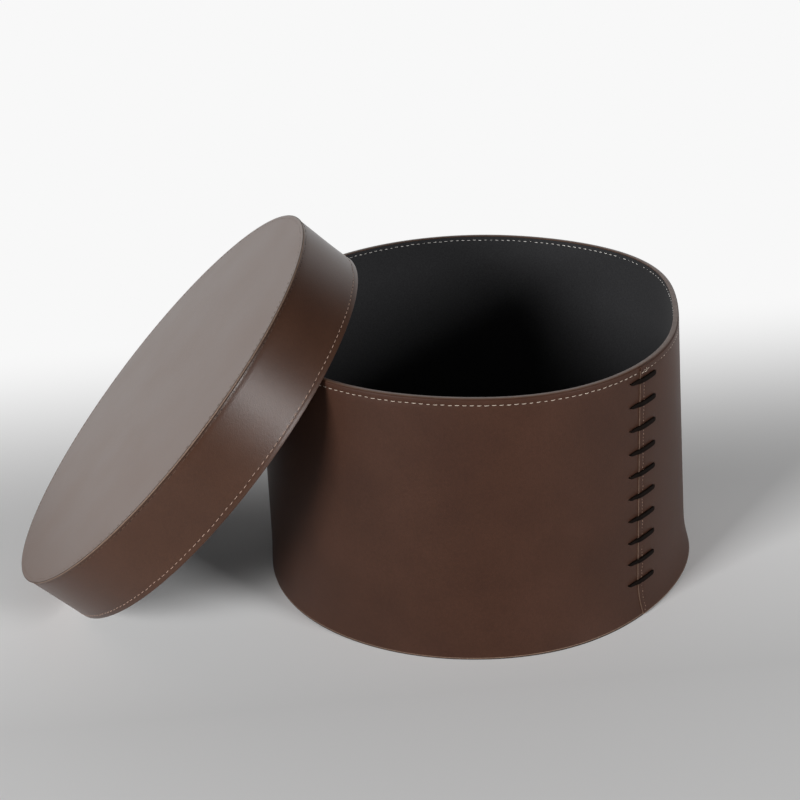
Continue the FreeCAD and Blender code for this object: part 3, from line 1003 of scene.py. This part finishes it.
        def lace_up(points: Points) -> Points:
            """Dives each end into its slot, rides over the raw edge and leans every stitch.

            Args:
                points: The points of the straight stitches.

            Returns:
                The moved points.
            """
            stitches = points.reshape(self.lace_count, each, 3).copy()
            drop = -np.arange(self.lace_count)[:, None] * self.lace_pitch
            x, y, z = stitches[:, :, 0], stitches[:, :, 1] - drop, stitches[:, :, 2]
            past = np.clip(np.abs(x) - length / 2 + bend_from, 0.0, None)
            flat = np.clip(x, -length / 2, length / 2)
            share = np.abs(flat) / (length / 2)
            tip = np.sqrt(1.0 - 0.9 * np.clip((share - tip_from) / (1.0 - tip_from), 0.0, 1.0) ** 2)
            y = y * np.where(x < 0, 1.0 - 0.45 * share ** 1.5, 1.0) * tip
            z = z * (1.0 - 0.12 * share) + self.lace_gauge / 2 + 0.15 * MM - past * 1.15
            along = flat + middle + np.sign(x) * np.minimum(past, 0.3 * MM)
            lean = flat / (length / 2) * -self.lace_rise * chance.normal(1.0, 0.12, (len(y), 1))
            climb = np.clip((along + climb_from) / climb_from, 0.0, 1.0) * self.lap_step * (along < 0)
            sag = uneven * np.cos(np.clip(x / (length / 2), -1, 1) * math.pi / 2)
            height = self.stitch_height(0) + drop + y + lean + chance.normal(0, uneven, (len(y), 1))
            flat_points = np.stack([along, height, z + climb + sag], axis=2)
            return form.roll(flat_points.reshape(-1, 3))

        give_finishes(lace, LACE)
        move_points(lace, lace_up)
        settle_normals(lace, 50.0)
        hand_over(lace, Body.BOX, Slot.LACE, "seam_lacing")

    def hoop(self) -> None:
        """Rolls the stiffening board, open behind the lacing."""
        radius = self.rim_radius - self.leather - self.glue
        form = self.form(radius)
        start = self.hoop_right * radius / self.rim_radius
        gap = (self.hoop_left + self.hoop_right) * radius / self.rim_radius
        board = cut_strip("wall_hoop", form.round - gap, self.layer_foot, self.rim_height,
                          (6.0 * MM, 10.0 * MM))
        move_points(board, lambda points: points + np.array([start, 0.0, 0.0]))
        give_gauge(board, self.board)
        give_finishes(board, FIBREBOARD)
        roll_up(board, form)
        hand_over(board, Body.BOX, Slot.BOARD, "wall_board")

    def suede_wall(self) -> None:
        """Rolls the lining into a closed ring inside the hoop."""
        radius = self.rim_radius - self.leather - self.board - 2 * self.glue
        form = self.form(radius)
        suede = cut_strip("wall_suede", form.round, self.layer_foot, self.rim_height, (5.0 * MM, 10.0 * MM))
        row = self.rim_height - self.inside_row
        score(suede, UP, row - GROOVE_HALF, row, row + GROOVE_HALF)
        give_gauge(suede, self.lining)
        give_finishes(suede, SUEDE)
        roll_up(suede, form, ring=True)
        hand_over(suede, Body.BOX, Slot.LINING, "wall_lining")

    def base(self) -> None:
        """Cuts the sole, its board and the suede floor, which follow the settled wall."""
        form = replace(self.form(self.rim_radius), flare=0.0)
        inside = self.rim_radius - self.leather - self.board - self.lining - 3 * self.glue
        wide, on_sole = self.base_radius, self.base_leather + self.glue
        layers = (("base_sole", wide, 0.0, self.base_leather, SOLE, Slot.UNDER, "base_leather"),
                  ("base_stiffener", wide, on_sole, self.base_board, FIBREBOARD, Slot.BOARD, "base_board"),
                  ("base_suede", inside, self.layer_foot, self.lining, SUEDE, Slot.LINING, "base_lining"))
        for name, radius, low, gauge, finish, slot, node in layers:
            disc = cut_disc(name, radius, low, gauge, self.base_bevel)
            give_finishes(disc, finish)
            # The dark sole is spread out under the wall's foot, partly as painted shade of the gap.
            if finish is SOLE:
                move_points(disc, self.spread_sole_as_shade)
            move_points(disc, form.slump)
            settle_normals(disc)
            hand_over(disc, Body.BOX, slot, node)

    def spread_sole_as_shade(self, points: Points) -> Points:
        """Presses the sole's lower edge outwards, so that it shows as a dark line under the wall: partly the
        sole's own dark edge, partly painted shade of the gap under the wall.

        Args:
            points: The sole's points.

        Returns:
            The moved points.
        """
        reach = np.hypot(points[:, 0], points[:, 1])
        pressed = (reach > self.base_radius - 2 * self.base_bevel) & (points[:, 2] < self.base_leather / 2)
        grown = np.where(pressed, 1.0 + self.sole_shade_spread / self.base_radius, 1.0)
        return points * np.stack([grown, grown, np.ones_like(grown)], axis=1)

    def rim_edge(self) -> None:
        """Closes the layers at the rim with a burnished edge."""
        deep = self.leather + self.board + self.lining + 2 * self.glue
        edge = burnish("rim_burnished_edge", self.wall_form, deep, self.rim_height, 1.0)
        hand_over(edge, Body.BOX, Slot.BROWN)

    def rows(self) -> None:
        """Sews the rim outside and inside, and the lap from the foot to the rim."""
        form = self.wall_form
        count = int((form.round - self.thread_start) / self.thread.pitch)
        pitch = (form.round - self.thread_start) / count
        row = self.rim_height - self.rim_row
        proud = 0.1 * MM
        tight = self.thread.sew("rim_thread_tight", form, Run.ROUND, self.thread_start, row, self.tight_count,
                                self.tight_lift, pitch)
        outside = self.thread.sew("rim_thread", form, Run.ROUND,
                                  self.thread_start + self.tight_count * pitch, row,
                                  count - self.tight_count, self.thread_lift, pitch)
        doubled = self.thread.sew("rim_back_tack", form, Run.ROUND, 3.0 * MM, row - 1.1 * MM, 2, proud,
                                  4.6 * MM)
        knotted = self.thread.sew("rim_thread_end", form, Run.UP, row + 0.4 * MM, 9.0 * MM, 1, proud)
        take(outside, tight, doubled, knotted)
        bpy.ops.object.join()
        hand_over(outside, Body.BOX, None)
        fine = self.fine_thread
        fine_count = int((self.rim_height - self.seam_margin) / fine.pitch)
        column = fine.sew("seam_thread", form, Run.UP, self.seam_start, self.seam_row, fine_count,
                          self.seam_lift)
        hand_over(column, Body.BOX, None)
        radius = self.rim_radius - self.leather - self.board - self.lining - 2 * self.glue
        inner = self.form(radius)
        inner_count = int(inner.round / self.inside_thread.pitch)
        inner_row = self.rim_height - self.inside_row
        inside = self.inside_thread.sew("rim_thread_inside", inner, Run.ROUND, 0.0, inner_row, inner_count,
                                        self.thread_lift, inner.round / inner_count, -1.0)
        hand_over(inside, Body.BOX, None)


def burnish(name: str, form: RolledForm, deep: float, edge: float, side: float) -> bpy.types.Object:
    """Rubs the edges of the layers into one domed, waxed edge, from the leather's corner to the lining.

    Args:
        name: The piece's name.
        form: The form of the outside leather.
        deep: How deep the layers are together.
        edge: The height of the edge.
        side: 1 if the edge faces up, -1 if it faces down.

    Returns:
        The burnished edge.
    """
    form = replace(form, step=0.0)
    inset, dome, bed = 0.9 * MM, 0.45 * MM, 0.05 * MM
    wide = deep - 0.7 * MM
    waxed = cut_strip(name, form.round, 0.0, wide, (5.0 * MM, 0.35 * MM))
    give_gauge(waxed, 0.5 * MM)

    def lay_on(points: Points) -> Points:
        """Domes the strip and turns it flat across the layers' edges.

        Args:
            points: The flat strip's points.

        Returns:
            The moved points.
        """
        along, across, out = points.T
        share = 2.0 * across / wide - 1.0
        crown = bed + dome * (1.0 - np.abs(share) ** 5) + out
        depth = -inset - across
        return form.roll(np.stack([along, edge + side * crown, depth], axis=1))

    give_finishes(waxed, BURNISHED)
    move_points(waxed, lay_on)
    settle_normals(waxed)
    return waxed


@dataclass
class Lid:
    """The lift-off lid: a lapped skirt and a round panel, lined, lying against the rim as in use."""
    skirt_radius: float = 208.8 * MM
    skirt_height: float = 61.05 * MM
    leather: float = 1.8 * MM
    layers: float = 4.9 * MM
    panel_radius: float = 209.6 * MM
    panel_low: float = 61.2 * MM
    depth: float = 63.0 * MM
    seam: float = 120.0
    lap_step: float = 1.3 * MM
    lean: float = 45.371
    middle: tuple[float, float, float] = (-252.7371 * MM, 0.0, 148.3413 * MM)
    panel_bevel: float = 0.55 * MM
    ripple: float = 0.15 * MM
    flare_top: float = 30.0 * MM
    edge_row: float = 5.0 * MM
    top_row: float = 1.9 * MM
    panel_row: float = 3.8 * MM
    thread_start: float = 6.0 * MM
    thread_lift: float = -0.1 * MM
    board: float = 2.0 * MM
    lining: float = 0.8 * MM
    glue: float = 0.15 * MM
    lobes: tuple[Lobe, ...] = (Lobe(345.0, 30.0, 0.0, 1.8 * MM, 3.6 * MM),)
    thread: Stitching = field(default_factory=lambda: Stitching(TAN_THREAD, thread=0.6 * MM, hole=1.2 * MM))
    # Dark thread with painted shade, for the rows at the panel's edge.
    sunk_shaded_thread: Stitching = field(default_factory=lambda: Stitching(
        SHADED_DARK_THREAD, thread=0.6 * MM, hole=1.5 * MM, arch=0.15 * MM))

    def form(self, radius: float, lapped: bool = False) -> RolledForm:
        """Gives the skirt's form at a radius, leaning on the rim.

        Args:
            radius: The radius of the layer's outside.
            lapped: Whether the layer's ends lap.

        Returns:
            The form.
        """
        lean = math.radians(self.lean)
        place = ((math.cos(lean), 0.0, -math.sin(lean), self.middle[0]), (0.0, 1.0, 0.0, self.middle[1]),
                 (math.sin(lean), 0.0, math.cos(lean), self.middle[2]), (0.0, 0.0, 0.0, 1.0))
        return RolledForm(radius, self.seam, self.lap_step if lapped else 0.0, foot=0.0, rim=self.depth,
                          flare_top=self.flare_top, ripple=self.ripple, lobes=self.lobes, place=place)

    @property
    def skirt_form(self) -> RolledForm:
        """The form of the skirt's leather."""
        return self.form(self.skirt_radius, True)

    def build(self) -> None:
        """Builds the lid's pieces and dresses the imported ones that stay."""
        self.skirt()
        self.panel()
        self.hoop_and_suede()
        edge = burnish("lid_burnished_edge", self.skirt_form, self.layers, 0.0, -1.0)
        hand_over(edge, Body.LID, Slot.BROWN)
        self.rows()
        for node, finish in (("lid_panel_lining", SUEDE), ("lid_panel_board", FIBREBOARD)):
            give_finishes(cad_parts[node], finish)
            LOG.info("%s: packed node kept, dressed as %s", node, finish.name)

    def hoop_and_suede(self) -> None:
        """Rolls the skirt's board and its lining into closed rings behind the leather."""
        outer = self.skirt_radius - self.leather - self.glue
        inner = outer - self.board - self.glue
        for name, radius, gauge, finish, slot, node in (
                ("lid_hoop", outer, self.board, FIBREBOARD, Slot.BOARD, "lid_skirt_board"),
                ("lid_suede", inner, self.lining, SUEDE, Slot.LINING, "lid_skirt_lining")):
            form = self.form(radius)
            low, high = (corner.z for corner in self.upright_box(node))
            ring = cut_strip(name, form.round, low, high, (6.0 * MM, 8.0 * MM))
            give_gauge(ring, gauge)
            give_finishes(ring, finish)
            roll_up(ring, form, ring=True)
            hand_over(ring, Body.LID, slot, node)

    def upright_box(self, node: str) -> tuple[Vector, Vector]:
        """Measures a packed lid node as if the lid stood upright.

        Args:
            node: The node's name.

        Returns:
            Its lowest and its highest corner.
        """
        back = Matrix(self.skirt_form.place).inverted()
        points = [back @ vertex.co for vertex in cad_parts[node].data.vertices]
        return (Vector(min(point[axis] for point in points) for axis in range(3)),
                Vector(max(point[axis] for point in points) for axis in range(3)))

    def skirt(self) -> None:
        """Cuts, scores and rolls the skirt."""
        form = self.skirt_form
        hide = cut_strip("lid_skirt_hide", form.round + form.underlap, 0.0, self.skirt_height,
                         (5.0 * MM, 7.0 * MM))
        for row in (self.edge_row, self.skirt_height - self.top_row):
            score(hide, UP, row - GROOVE_HALF, row, row + GROOVE_HALF)
            move_points(hide, lambda points, row=row: press_groove(points, 1, row, GROOVE_DEPTH))
        give_gauge(hide, self.leather)
        wear_edges(hide, EDGE_BEVEL)
        give_finishes(hide, LID_HIDE, CUT_EDGE, FLESH)
        paint_where(hide, 1, lambda _place, normal: abs(normal.z) < FLAT)
        paint_where(hide, 2, lambda _place, normal: normal.z < -FLAT)
        roll_up(hide, form)
        hand_over(hide, Body.LID, Slot.BROWN, "lid_skirt_leather")

    def panel(self) -> None:
        """Cuts the round panel, its cut edge left pale between two dark lines: edge dye above, painted shade
        below.
        """
        disc = cut_disc("lid_panel_hide", self.panel_radius, self.panel_low, self.depth - self.panel_low,
                        self.panel_bevel)
        # The panel's hide is painted lighter than the skirt's, as a painted sheen.
        give_finishes(disc, PANEL_SHEEN_HIDE, CUT_EDGE, FLESH, DYED_EDGE_AND_GAP_SHADE)
        # Both bevels take the dark finish: edge dye on the upper one, painted shade of the gap under the
        # overhang on the lower.
        paint_where(disc, 3, lambda _place, normal: abs(normal.z) < 0.98)
        paint_where(disc, 1, lambda _place, normal: abs(normal.z) < 0.3)
        paint_where(disc, 2, lambda _place, normal: normal.z < -0.98)
        move_points(disc, self.skirt_form.put)
        settle_normals(disc)
        hand_over(disc, Body.LID, Slot.BROWN, "lid_panel_leather")

    def rows(self) -> None:
        """Sews the skirt at both edges and the panel round its edge."""
        form = self.skirt_form
        count = int((form.round - self.thread_start) / self.thread.pitch)
        pitch = (form.round - self.thread_start) / count
        # The skirt's top row lies under the panel's overhang; its dark thread is painted shade.
        for name, stitch, row in (("lid_edge_thread", self.thread, self.edge_row),
                                  ("lid_top_thread", self.sunk_shaded_thread, self.skirt_height - self.top_row)):
            sewn = stitch.sew(name, form, Run.ROUND, self.thread_start, row, count, self.thread_lift, pitch)
            hand_over(sewn, Body.LID, None)
        radius = self.panel_radius - self.panel_row
        ring = int(math.tau * radius / self.thread.pitch)
        # The panel's ring row takes the same dark thread with painted shade.
        sewn = self.sunk_shaded_thread.sew("lid_panel_thread", form, Run.RING, 0.0, radius, ring,
                                    self.depth + self.thread_lift, math.tau * radius / ring)
        hand_over(sewn, Body.LID, None)


@dataclass(frozen=True)
class Floor(Finish):
    """A matt studio sheet, white far off and pale grey towards the camera; it keeps the shadows."""
    middle: str = "#f9f9f9"
    far: str = "#f8f8f8"
    near_y: float = -0.24
    middle_y: float = -0.06
    far_y: float = 0.40
    white_from: float = 0.06
    white_at: float = 0.58

    def paint(self, tree: bpy.types.NodeTree, shader: bpy.types.Node) -> None:
        """Blends the greys by distance, and lets the far floor show as plain white.

        Args:
            tree: The material's node tree.
            shader: Its shader node.
        """
        at = add_node(tree, "ShaderNodeSeparateXYZ", {"Vector": self.coordinates(tree)})
        blend = add_node(tree, "ShaderNodeMapRange", {"Value": at.outputs["Y"]},
                         {"From Min": self.near_y, "From Max": self.far_y})
        tint = add_node(tree, "ShaderNodeValToRGB", {"Fac": blend.outputs["Result"]})
        tint.color_ramp.elements[0].color = linear(self.colour)
        tint.color_ramp.elements[1].color = linear(self.far)
        between = tint.color_ramp.elements.new((self.middle_y - self.near_y) / (self.far_y - self.near_y))
        between.color = linear(self.middle)
        tree.links.new(tint.outputs["Color"], shader.inputs["Base Color"])
        shader.inputs["Roughness"].default_value = self.rough
        shader.inputs["Specular IOR Level"].default_value = 0.2
        white = add_node(tree, "ShaderNodeEmission", values={"Color": linear(self.far), "Strength": 1.0})
        seen = add_node(tree, "ShaderNodeLightPath")
        direct = add_node(tree, "ShaderNodeMath", {0: seen.outputs["Is Camera Ray"],
                                                   1: seen.outputs["Is Glossy Ray"]},
                          operation="ADD", use_clamp=True)
        shown = add_node(tree, "ShaderNodeMath", {0: direct.outputs["Value"],
                                                  1: seen.outputs["Is Transmission Ray"]},
                         operation="ADD", use_clamp=True)
        away = add_node(tree, "ShaderNodeMapRange", {"Value": at.outputs["Y"]},
                        {"From Min": self.white_from, "From Max": self.white_at},
                        interpolation_type="SMOOTHSTEP")
        share = add_node(tree, "ShaderNodeMath", {0: shown.outputs["Value"], 1: away.outputs["Result"]},
                         operation="MULTIPLY")
        mixed = add_node(tree, "ShaderNodeMixShader", {0: share.outputs["Value"], 1: shader.outputs["BSDF"],
                                                       2: white.outputs["Emission"]})
        tree.links.new(mixed.outputs["Shader"], tree.nodes["Material Output"].inputs["Surface"])


@dataclass(frozen=True)
class SoftLight:
    """A softbox: where it hangs, what it points at, its size and its power."""
    name: str
    place: tuple[float, float, float]
    target: tuple[float, float, float]
    wide: float
    tall: float
    watts: float

    def hang(self) -> None:
        """Adds the softbox to the scene."""
        lamp = bpy.data.lights.new(self.name, "AREA")
        lamp.shape = "RECTANGLE"
        lamp.size = self.wide
        lamp.size_y = self.tall
        lamp.energy = self.watts
        box = bpy.data.objects.new(self.name, lamp)
        box.location = self.place
        aim = Vector(self.target) - Vector(self.place)
        box.rotation_euler = aim.to_track_quat("-Z", "Y").to_euler()
        bpy.context.scene.collection.objects.link(box)


@dataclass
class Studio:
    """The pale floor, the soft light and the camera."""
    floor_size: float = 16.0
    world_level: float = 0.09
    backdrop_level: float = 0.95
    backdrop_from: float = 0.41
    backdrop_full: float = 0.81
    camera_place: tuple[float, float, float] = (-0.1547208, -1.1860828, 0.7454431)
    image_right: tuple[float, float, float] = (0.99495987, -0.09136556, -0.04131825)
    image_down: tuple[float, float, float] = (-0.07715197, -0.43432321, -0.89744689)
    view: tuple[float, float, float] = (0.06405027, 0.89611142, -0.4391832)
    lens_mm: float = 61.9277
    sensor_mm: float = 36.0
    lights: tuple[SoftLight, ...] = (
        SoftLight("softbox_left", (-2.09, -1.97, 1.10), (-0.05, 0.0, 0.12), 0.85, 0.85, 72.0),
        SoftLight("softbox_right", (1.74, -1.80, 0.87), (0.0, 0.0, 0.15), 0.75, 0.75, 37.0),
    )
    sheet: Floor = Floor("matt studio sheet", "#dcdcdc", 0.75)

    def build(self) -> None:
        """Lays the floor, lights the scene and sets the camera up."""
        clear_bench()
        bpy.ops.mesh.primitive_plane_add(size=self.floor_size)
        floor = bpy.context.object
        floor.name = "studio_floor"
        give_finishes(floor, self.sheet)
        for light in self.lights:
            light.hang()
        self.air()
        lens = bpy.data.cameras.new("photo_camera")
        lens.lens = self.lens_mm
        lens.sensor_width = self.sensor_mm
        lens.clip_end = 50.0
        camera = bpy.data.objects.new("photo_camera", lens)
        axes = (Vector(self.image_right), -Vector(self.image_down), -Vector(self.view))
        camera.matrix_world = Matrix.Translation(self.camera_place) @ Matrix(axes).transposed().to_4x4()
        bpy.context.scene.collection.objects.link(camera)
        bpy.context.scene.camera = camera
        bpy.context.scene.view_settings.view_transform = "Standard"

    def air(self) -> None:
        """Fills the room with even light, and lets shine and camera see the pale backdrop behind the box."""
        world = bpy.data.worlds.new("studio_air")
        world.use_nodes = True
        tree = world.node_tree
        at = add_node(tree, "ShaderNodeSeparateXYZ",
                      {"Vector": add_node(tree, "ShaderNodeTexCoord").outputs["Generated"]})
        backdrop = add_node(tree, "ShaderNodeMapRange", {"Value": at.outputs["Y"]},
                            {"From Min": self.backdrop_from, "From Max": self.backdrop_full,
                             "To Min": self.world_level, "To Max": self.backdrop_level},
                            interpolation_type="SMOOTHSTEP")
        seen = add_node(tree, "ShaderNodeLightPath")
        level = add_node(tree, "ShaderNodeMix", {"Factor": seen.outputs["Is Diffuse Ray"],
                                                 "A": backdrop.outputs["Result"]}, {"B": self.world_level})
        tree.links.new(level.outputs["Result"], tree.nodes["Background"].inputs["Strength"])
        tree.nodes["Background"].inputs["Color"].default_value = linear("#ffffff")
        bpy.context.scene.world = world


def main() -> None:
    """Builds the box, the lid and the studio."""
    logging.basicConfig(level=logging.INFO, format="%(name)s: %(message)s")
    Box().build()
    Lid().build()
    Studio().build()


if __name__ == "__main__":
    main()
